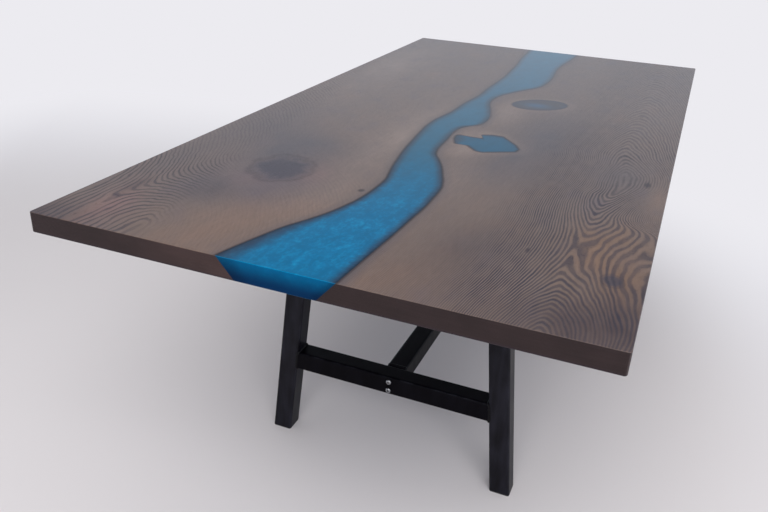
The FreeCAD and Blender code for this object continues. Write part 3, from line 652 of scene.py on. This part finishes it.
def blue_resin(name, settings, place_of, shade=0.0):
    """Pearly cast resin, darker over the sloping walls that hold it and deeper at the ends."""
    finish = TopFinish(name, settings.roughness, settings.gloss)
    inside, slope = place_of(finish)
    ragged = finish.noise((14, 4, 14), 2, 1) * 4.5
    inward = (inside + ragged) / slope
    rim = finish.smooth(inward, 2.0, -0.2) * 0.8
    rim = finish.math("EXPONENT", finish.math("MAXIMUM", inward, 0.0) * -0.33) * 0.2 + rim
    grain = finish.noise((11, 18, 11), 2, 3) * 0.65 + finish.noise((5, 8, 5), 1, 5) * 0.35
    flow = finish.noise((24, 60, 24), 2, 6)
    pearl = finish.smooth(grain + flow * 0.3, -0.2, 0.7)
    rear = finish.smooth(finish.along, 220, 800)
    end = finish.faces(Y_AXIS, 0.5)
    pearl = pearl * (0.9 - rear * 0.5) * (1.0 - end * 0.7)
    base = finish.mix(pearl, settings.bright, settings.shimmer_and_highlight)
    base = finish.mix(rear * 0.8, base, settings.calm)
    dimmer = finish.smooth(finish.along, 1000, 1400) * 0.12
    base = finish.tint(base, 1.0 + flow * 0.2 - dimmer)
    base = finish.mix(shade, base, settings.deep)
    # The ends are deep blue, and painted shade deepens them towards the underside.
    below = finish.smooth(finish.depth, -10, THICKNESS - 4)
    base = finish.mix(end * (below * 0.6 + 0.38), base, settings.deep)
    bank = finish.tint(settings.rim, 1.0 - finish.smooth(inside, 5, 0.5) * 0.6)
    bank = finish.mix(end, bank, finish.tint(settings.deep, 0.35))
    base = finish.mix(rim * (0.92 - end * 0.35), base, bank)
    # Painted highlight: a bright thin line along the rounded arrises.
    base = finish.mix(finish.worn(0.05, 0.2) * 0.35, base, settings.shimmer_and_highlight)
    finish.feed(finish.shader.inputs["Specular IOR Level"], (1.0 - end * 0.6) * settings.gloss)
    cast_surface(finish, settings)
    return finish.paint(base, settings.roughness + pearl * 0.05)


def river_slope(finish):
    """Distance inside the river, and how wide its bank shows through the resin."""
    return finish.inside_river(), finish.spot(-125, 60, 80, 180) * 20.0 + 11.0


def pool_slope(finish):
    """Distance inside the pool, and how wide its wall shows through the resin."""
    neck = finish.spot(35, 835, 36, 30) * 16.0 + finish.spot(110, 905, 60, 16) * 9.0
    return finish.inside_hollow(POOL_CENTRE, POOL_OUTLINE), neck + 5.0


def knot_resin(settings):
    """Thin resin over a dark knot, bluer in its middle."""
    finish = TopFinish("knot_resin", settings.roughness, settings.gloss)
    inside = finish.inside_hollow(KNOT_CENTRE, KNOT_OUTLINE)
    cloud = finish.noise((34, 44, 34), 2, 2)
    blue = finish.spot(128, 1262, 40, 26) * 0.36 + finish.smooth(cloud, 0.1, 0.8) * 0.12
    base = finish.mix(blue, settings.knot, settings.bright)
    base = finish.tint(base, 1.0 + cloud * 0.25)
    base = finish.mix(finish.smooth(inside, 20, -1) * 0.9, base, settings.rim)
    cast_surface(finish, settings)
    return finish.paint(base, settings.roughness)


# ---- steel and fittings

def black_steel(name, settings, gloss, scale_and_sheen_share):
    """Satin black steel over blotchy mill scale and painted reflection, a little worn on its
    corners.
    """
    finish = Finish(name, settings.roughness, gloss)
    cloud = finish.noise((30, 30, 90), 3, 1)
    speck = finish.noise((2.2, 2.2, 2.2), 2, 3)
    blotch = finish.smooth(cloud + finish.noise((9, 9, 140), 2, 6) * 0.6, -0.9, 0.8)
    # The scale colour is mill scale, and its amount is painted light: more on the legs, less on the
    # bars.
    base = finish.mix(blotch * scale_and_sheen_share, settings.black, settings.scale)
    base = finish.tint(base, 1.0 + cloud * 0.3 + speck * 0.25)
    edge = finish.worn(0.05, 0.24) * finish.smooth(cloud + speck, -0.2, 0.6)
    base = finish.mix(edge * 0.45, base, settings.worn)
    finish.relief(0.5 + speck * 0.25 + cloud * 0.2, settings.ripple)
    return finish.paint(base, settings.roughness + cloud * 0.12)


def weld_steel(settings):
    """Weld metal under the same black coat, with pale specks and uneven roughness."""
    finish = Finish("weld_steel", settings.roughness, settings.gloss)
    speck = finish.noise((0.8, 0.8, 0.8), 2, 2)
    base = finish.mix(finish.smooth(speck, 0.1, 0.6) * 0.35, settings.black, settings.worn)
    finish.relief(0.5 + speck * 0.4, settings.ripple)
    return finish.paint(base, settings.roughness + speck * 0.15)


def bare_metal(name, colour, roughness, streak, axis):
    """Bare or plated metal with fine tool marks, darker where it turns away from its axis."""
    finish = Finish(name, roughness, metallic=1.0)
    marks = finish.noise(streak, 2, 1)
    blotch = finish.noise((6, 6, 6), 2, 4)
    # Painted shade: darker where the surface turns away from its axis.
    painted_shade = finish.smooth(abs(finish.facing[axis]), 0.9, 0.4)
    base = finish.tint(colour, 1.0 + marks * 0.18 + blotch * 0.15 - painted_shade * 0.55)
    finish.relief(0.5 + marks * 0.4, 0.00003)
    return finish.paint(base, roughness + blotch * 0.12)


def moulded_plastic(colour):
    """Matt moulded plastic with a fine spark texture."""
    roughness = 0.55
    finish = Finish("glide_plastic", roughness)
    spark = finish.noise((0.6, 0.6, 0.6), 2, 1)
    scuff = finish.noise((4, 12, 3), 3, 5)
    base = finish.tint(colour, 1.0 + spark * 0.3 + scuff * 0.4)
    finish.relief(0.5 + spark * 0.4, 0.00005)
    return finish.paint(base, roughness + scuff * 0.15)


# ---- modelling helpers

def deselect():
    """Clear the selection."""
    bpy.ops.object.select_all(action="DESELECT")


def select(*items):
    """Select these objects alone; the last one is active."""
    deselect()
    for item in items:
        item.select_set(True)
    bpy.context.view_layer.objects.active = items[-1]


def apply_modifier(item, name, kind, **settings):
    """Add a modifier and apply it at once."""
    modifier = item.modifiers.new(name, kind)
    for key, value in settings.items():
        setattr(modifier, key, value)
    select(item)
    bpy.ops.object.modifier_apply(modifier=name)


def weld_drop(radii):
    """One ripple of a bead: a ball stretched to its three radii."""
    deselect()
    bpy.ops.mesh.primitive_ico_sphere_add(subdivisions=3, radius=1)
    drop = bpy.context.object
    bpy.ops.object.mode_set(mode="EDIT")
    bpy.ops.transform.resize(value=radii)
    bpy.ops.object.mode_set(mode="OBJECT")
    return drop


TUBE_CORNER = 0.006        # outside radius of the tube's corners


def outline_walk(half_wide, half_deep, pitch):
    """Even steps round a tube's outline: point and outward direction."""
    fine = []
    quarter_steps = 12
    for turn, (across, deep) in enumerate(((1, 1), (-1, 1), (-1, -1), (1, -1))):
        centre = Vector((across * (half_wide - TUBE_CORNER), deep * (half_deep - TUBE_CORNER)))
        for step in range(quarter_steps + 1):
            bend = math.pi / 2 * (turn + step / quarter_steps)
            out = Vector((math.cos(bend), math.sin(bend)))
            fine.append((centre + out * TUBE_CORNER, out))
    fine.append(fine[0])
    lengths = [(after[0] - before[0]).length for before, after in zip(fine, fine[1:])]
    count = round(sum(lengths) / pitch)
    spacing = sum(lengths) / count
    steps, travelled, segment = [], 0.0, 0
    for number in range(count):
        wanted = number * spacing
        while travelled + lengths[segment] < wanted:
            travelled += lengths[segment]
            segment += 1
        part = (wanted - travelled) / lengths[segment]
        (point, out), (far_point, far_out) = fine[segment], fine[segment + 1]
        steps.append((point.lerp(far_point, part), out.lerp(far_out, part).normalized()))
    return steps


def bead(name, drops, skin, material, nodes):
    """Join ripples into one bead; each drop is a radii tuple and a matrix."""
    made, masters = [], {}
    for radii, matrix in drops:
        if radii not in masters:
            masters[radii] = weld_drop(radii)
        copy = masters[radii].copy()
        copy.data = masters[radii].data.copy()
        copy.matrix_world = matrix
        bpy.context.scene.collection.objects.link(copy)
        made.append(copy)
    for master in masters.values():
        bpy.data.objects.remove(master)
    select(*made)
    bpy.ops.object.join()
    item = bpy.context.object
    item.name = name
    bpy.ops.object.transform_apply(location=True, rotation=True, scale=True)
    apply_modifier(item, "Skin", "REMESH", mode="VOXEL", voxel_size=skin)
    apply_modifier(item, "Ease", "SMOOTH", factor=0.5, iterations=1)
    select(item)
    bpy.ops.object.shade_smooth()
    item.data.materials.clear()
    item.data.materials.append(material)
    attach(item, "root")
    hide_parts(*nodes)


def set_at(place, along, out):
    """A matrix at a place whose X runs along the seam and whose Z points out of it."""
    side = out.cross(along).normalized()
    turn = Matrix((along.normalized(), side, out.normalized())).transposed().to_4x4()
    return Matrix.Translation(place) @ turn


# ---- welds

RIPPLE_REACH = 0.95        # half the length of a ripple, as a share of the pitch
RADII_DIGITS = 5           # ripples whose sizes agree this far share one master


def blend(corner, flush, corner_share):
    """A size between its value in a corner and its value over a flush seam."""
    return corner * corner_share + flush * (1 - corner_share)


def ripple_radii(sizes, wide, high):
    """Half sizes of a ripple: along the seam, across it and out of it."""
    return tuple(round(size, RADII_DIGITS) for size in (sizes.pitch * RIPPLE_REACH, wide, high))


def tube_sizes():
    """Half size of the tube, and the lean of a leg per unit of height."""
    leg_low, leg_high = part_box("front_left_leg")
    tall = leg_high.z - leg_low.z
    half = (leg_high.y - leg_low.y) / 2
    plain = leg_high.x - leg_low.x - 2 * half
    lean = plain / tall
    return half, (plain - 2 * half * (math.hypot(1, lean) - 1)) / tall


def crossbar_drops(end, side, sizes):
    """Ripples round one end of a crossbar: in a corner above and below, flush at the sides."""
    half, lean = tube_sizes()
    low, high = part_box(f"{END_NAMES[end]}_crossbar")
    middle_y, middle_z = (low.y + high.y) / 2, (low.z + high.z) / 2
    drops = []
    for point, out in outline_walk(half, half, sizes.pitch):
        corner_share = abs(out.y)
        z = middle_z + point.y
        face = high.x - lean * (z - low.z)
        lift = blend(sizes.fillet * 0.25, -sizes.proud * 0.35, corner_share)
        inset = blend(-sizes.fillet * 0.3, sizes.seam_width * 0.55, corner_share)
        place = Vector((side * (face + inset), middle_y + point.x + out.x * lift,
                        z + out.y * lift))
        radii = ripple_radii(sizes, blend(sizes.fillet, sizes.seam_width, corner_share),
                             blend(sizes.fillet * 0.8, sizes.proud * 1.6, corner_share))
        outward = Vector((-side * 0.6 * corner_share, out.x, out.y))
        drops.append((radii, set_at(place, Vector((0, -out.y, out.x)), outward)))
    return drops


def head_drops(end, side, sizes):
    """Ripples round the head of a leg, in the corner under the mounting plate."""
    half, lean = tube_sizes()
    low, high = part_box(f"{END_NAMES[end]}_left_leg")
    middle_y, top = (low.y + high.y) / 2, high.z
    stretch = math.hypot(1, lean)
    inner = min(abs(low.x), abs(high.x))
    middle_x = side * (inner + half * stretch)
    radii = ripple_radii(sizes, sizes.fillet * 0.85, sizes.fillet * 0.85)
    lift = sizes.fillet * 0.35
    drops = []
    for point, out in outline_walk(half * stretch, half, sizes.pitch):
        place = Vector((middle_x + point.x + out.x * lift, middle_y + point.y + out.y * lift,
                        top - sizes.fillet * 0.55))
        outward = Vector((out.x, out.y, -1))
        drops.append((radii, set_at(place, Vector((-out.y, out.x, 0)), outward)))
    return drops


def stretcher_drops(end, sizes):
    """Ripples over the flush seam between the stretcher and its end plate."""
    half, _ = tube_sizes()
    low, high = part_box(f"{END_NAMES[end]}_stretcher_plate")
    seam = high.y if end == FRONT else low.y
    middle_z = (low.z + high.z) / 2
    radii = ripple_radii(sizes, sizes.seam_width * 0.7, sizes.proud * 1.5)
    sink = -sizes.proud * 0.5
    drops = []
    for point, out in outline_walk(half, half, sizes.pitch):
        place = Vector((point.x + out.x * sink, seam, middle_z + point.y + out.y * sink))
        outward = Vector((out.x, 0, out.y))
        drops.append((radii, set_at(place, Vector((-out.y, 0, out.x)), outward)))
    return drops


# ---- operators

class TABLE_OT_slabs(bpy.types.Operator):
    """Stain and lacquer the two slabs."""
    bl_idname = "table.slabs"
    bl_label = "Finish the slabs"

    def execute(self, context):
        wood = context.scene.table_wood
        left = stained_wood("left_slab_wood", wood, left_rings, left_line_share,
                            LEFT_LINE, LEFT_PATCHES, LEFT_KNOTS)
        right = stained_wood("right_slab_wood", wood, right_rings, right_line_share,
                             RIGHT_LINE, RIGHT_PATCHES, RIGHT_KNOTS)
        put_on(left, "left_slab")
        put_on(right, "right_slab")
        return {"FINISHED"}


class TABLE_OT_resin(bpy.types.Operator):
    """Colour the river, the pool and the filled knot."""
    bl_idname = "table.resin"
    bl_label = "Finish the resin"

    def execute(self, context):
        resin = context.scene.table_resin
        put_on(blue_resin("river_resin", resin, river_slope), "resin_river")
        put_on(blue_resin("pool_resin", resin, pool_slope, shade=0.25), "resin_pool")
        put_on(knot_resin(resin), "resin_knot_fill")
        return {"FINISHED"}


class TABLE_OT_base(bpy.types.Operator):
    """Coat the tubes and plates of the base."""
    bl_idname = "table.base"
    bl_label = "Finish the base"

    def execute(self, context):
        steel = context.scene.table_steel
        # The legs get more scale colour as painted reflection, the bars less as painted shade.
        legs = black_steel("leg_steel", steel, steel.gloss, steel.leg_scale_and_sheen)
        bars = black_steel("bar_steel", steel, steel.bar_gloss, steel.bar_scale_and_sheen)
        put_on(bars, "stretcher")
        for end in END_NAMES.values():
            put_on(legs, f"{end}_left_leg", f"{end}_right_leg")
            put_on(bars, f"{end}_crossbar", f"{end}_mounting_plate", f"{end}_stretcher_plate")
        return {"FINISHED"}


class TABLE_OT_fittings(bpy.types.Operator):
    """Finish the bolts, screws, washers, threaded inserts and glides."""
    bl_idname = "table.fittings"
    bl_label = "Finish the fittings"

    def execute(self, context):
        fittings = context.scene.table_fittings
        stainless = bare_metal("stainless_steel", fittings.stainless, 0.34, (1.6, 1.6, 1.6), Y_AXIS)
        zinc = bare_metal("zinc_steel", fittings.zinc, 0.42, (2.4, 2.4, 2.4), Z_AXIS)
        brass = bare_metal("insert_brass", fittings.brass, 0.38, (3, 3, 0.7), Z_AXIS)
        plastic = moulded_plastic(fittings.plastic)
        for end in END_NAMES.values():
            put_on(stainless, f"{end}_stretcher_bolts")
            put_on(zinc, f"{end}_top_screws", f"{end}_top_washers")
            put_on(brass, f"{end}_threaded_inserts")
            put_on(plastic, f"{end}_left_glide", f"{end}_right_glide")
        return {"FINISHED"}


class TABLE_OT_welds(bpy.types.Operator):
    """Model the rippled weld beads of the base."""
    bl_idname = "table.welds"
    bl_label = "Model the welds"

    def execute(self, context):
        sizes = context.scene.table_welds
        metal = weld_steel(context.scene.table_steel)
        for end, name in END_NAMES.items():
            for kind, drops_of in (("crossbar", crossbar_drops), ("head", head_drops)):
                drops = drops_of(end, LEFT, sizes) + drops_of(end, RIGHT, sizes)
                bead(f"{name}_{kind}_beads", drops, sizes.skin, metal, [f"{name}_{kind}_welds"])
            bead(f"{name}_stretcher_bead", stretcher_drops(end, sizes), sizes.skin, metal,
                 [f"{name}_stretcher_weld"])
        return {"FINISHED"}


class TABLE_OT_stage(bpy.types.Operator):
    """Set up the floor, the soft light and the camera."""
    bl_idname = "table.stage"
    bl_label = "Set the stage"

    def execute(self, context):
        studio = context.scene.table_studio
        context.scene.view_settings.view_transform = "Standard"
        make_floor(studio)
        make_world(context.scene, studio)
        make_key_light(context.scene, studio)
        make_camera(context.scene, studio)
        return {"FINISHED"}


# ---- stage

# Distances from the table, in millimetres, over which the floor fades into the background.
# Behind the table and to its right the floor fades sooner: painted light.
FADE_AND_LIGHT_BEHIND = (900, 3200)
FADE_ROUND = (2000, 3800)


def make_floor(studio):
    """A wide pale floor that fades into a plain background, sooner behind the table, and is
    clear from below."""
    deselect()
    bpy.ops.mesh.primitive_plane_add(size=studio.floor_size)
    floor = bpy.context.object
    floor.name = "floor"
    finish = Finish("floor", roughness=0.75, gloss=0.2)
    reach = finish.math("SQRT", finish.x * finish.x + finish.y * finish.y)
    # Painted light: the floor turns lighter sooner towards the right and behind.
    fade_and_light_behind = finish.smooth(reach + (finish.x + finish.y) * 0.5, *FADE_AND_LIGHT_BEHIND)
    far = finish.math("MAXIMUM", fade_and_light_behind, finish.smooth(reach, *FADE_ROUND))
    base = finish.mix(far, studio.floor, studio.distance)
    finish.paint(finish.tint(base, 1.0 + finish.noise((900, 900, 900), 2, 1) * 0.02))
    ray = finish.node("ShaderNodeLightPath").outputs
    seen = finish.math("MAXIMUM", ray["Is Camera Ray"], ray["Is Glossy Ray"])
    background = finish.node("ShaderNodeEmission", (studio.distance,))
    clear = finish.node("ShaderNodeBsdfTransparent")
    below = finish.node("ShaderNodeNewGeometry").outputs["Backfacing"]
    surface = finish.either(far * seen, finish.shader.outputs[0], background.outputs[0])
    surface = finish.either(below, surface, clear.outputs[0])
    finish.feed(finish.tree.nodes["Material Output"].inputs["Surface"], surface)
    floor.data.materials.append(finish.material)


def make_world(scene, studio):
    """A pale room: bright round the horizon, with darker upper walls and a bright ceiling. The
    camera sees the plain background colour instead."""
    world = bpy.data.worlds.new("room")
    world.use_nodes = True
    tree = world.node_tree
    background = tree.nodes["Background"]
    place = tree.nodes.new("ShaderNodeTexCoord")
    parts = tree.nodes.new("ShaderNodeSeparateXYZ")
    ramp = tree.nodes.new("ShaderNodeValToRGB")
    ramp.color_ramp.interpolation = "EASE"
    # Each colour's height: 0 is level and 1 is straight up.
    heights = (
        (0.24, studio.horizon), (0.38, studio.walls), (0.6, studio.walls), (0.88, studio.zenith),
    )
    stops = ramp.color_ramp.elements
    for _ in heights[2:]:
        stops.new(0.5)
    for stop, (height, colour) in zip(stops, heights):
        stop.position = height
        stop.color = (*colour, 1)
    background.inputs["Strength"].default_value = studio.room_light
    plain = tree.nodes.new("ShaderNodeBackground")
    plain.inputs["Color"].default_value = (*studio.distance, 1)
    either = tree.nodes.new("ShaderNodeMixShader")
    ray = tree.nodes.new("ShaderNodeLightPath")
    for output, socket in (
        (place.outputs["Generated"], parts.inputs[0]),
        (parts.outputs["Z"], ramp.inputs[0]),
        (ramp.outputs[0], background.inputs["Color"]),
        (ray.outputs["Is Camera Ray"], either.inputs[0]),
        (background.outputs[0], either.inputs[1]),
        (plain.outputs[0], either.inputs[2]),
        (either.outputs[0], tree.nodes["World Output"].inputs["Surface"]),
    ):
        tree.links.new(output, socket)
    scene.world = world


def make_key_light(scene, studio):
    """A large soft light, high in front and to the right."""
    light = bpy.data.lights.new("key_light", "AREA")
    light.shape = "SQUARE"
    light.size = studio.key_size
    light.energy = studio.key_power
    item = bpy.data.objects.new("key_light", light)
    item.location = studio.key_place
    aim = Vector(studio.key_aim) - item.location
    item.rotation_euler = aim.to_track_quat("-Z", "Y").to_euler()
    scene.collection.objects.link(item)


def make_camera(scene, studio):
    """The camera, in front of the table and to its right."""
    camera = bpy.data.cameras.new("camera")
    camera.lens = studio.lens
    camera.sensor_width = studio.sensor
    item = bpy.data.objects.new("camera", camera)
    turn = (Matrix.Rotation(studio.yaw, 4, "Z")
            @ Matrix.Rotation(math.pi / 2 - studio.pitch, 4, "X")
            @ Matrix.Rotation(studio.roll, 4, "Z"))
    item.matrix_world = Matrix.Translation(studio.camera) @ turn
    scene.collection.objects.link(item)
    scene.camera = item


# ---- panel and registration

OPERATORS = (
    TABLE_OT_slabs, TABLE_OT_resin, TABLE_OT_base, TABLE_OT_fittings, TABLE_OT_welds,
    TABLE_OT_stage,
)
GROUPS = {
    "table_wood": WoodFinish,
    "table_resin": ResinFinish,
    "table_steel": SteelFinish,
    "table_fittings": FittingFinish,
    "table_welds": WeldSizes,
    "table_studio": StudioSettings,
}


class TABLE_PT_panel(bpy.types.Panel):
    """The table's steps and their settings."""
    bl_label = "Live Edge Table"
    bl_space_type = "VIEW_3D"
    bl_region_type = "UI"
    bl_category = "Table"

    def draw(self, context):
        for operator in OPERATORS:
            self.layout.operator(operator.bl_idname)
        for name in GROUPS:
            box = self.layout.box()
            settings = getattr(context.scene, name)
            for item in settings.__annotations__:
                box.prop(settings, item)


CLASSES = (*GROUPS.values(), *OPERATORS, TABLE_PT_panel)


def register():
    """Register the classes and hang the settings on the scene."""
    for item in CLASSES:
        bpy.utils.register_class(item)
    for name, group in GROUPS.items():
        setattr(bpy.types.Scene, name, bpy.props.PointerProperty(type=group))


def unregister():
    """Take the settings and the classes away again."""
    for name in GROUPS:
        delattr(bpy.types.Scene, name)
    for item in reversed(CLASSES):
        bpy.utils.unregister_class(item)


def main():
    """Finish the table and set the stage."""
    register()
    bpy.ops.table.slabs()
    bpy.ops.table.resin()
    bpy.ops.table.base()
    bpy.ops.table.fittings()
    bpy.ops.table.welds()
    bpy.ops.table.stage()


if __name__ == "__main__":
    main()
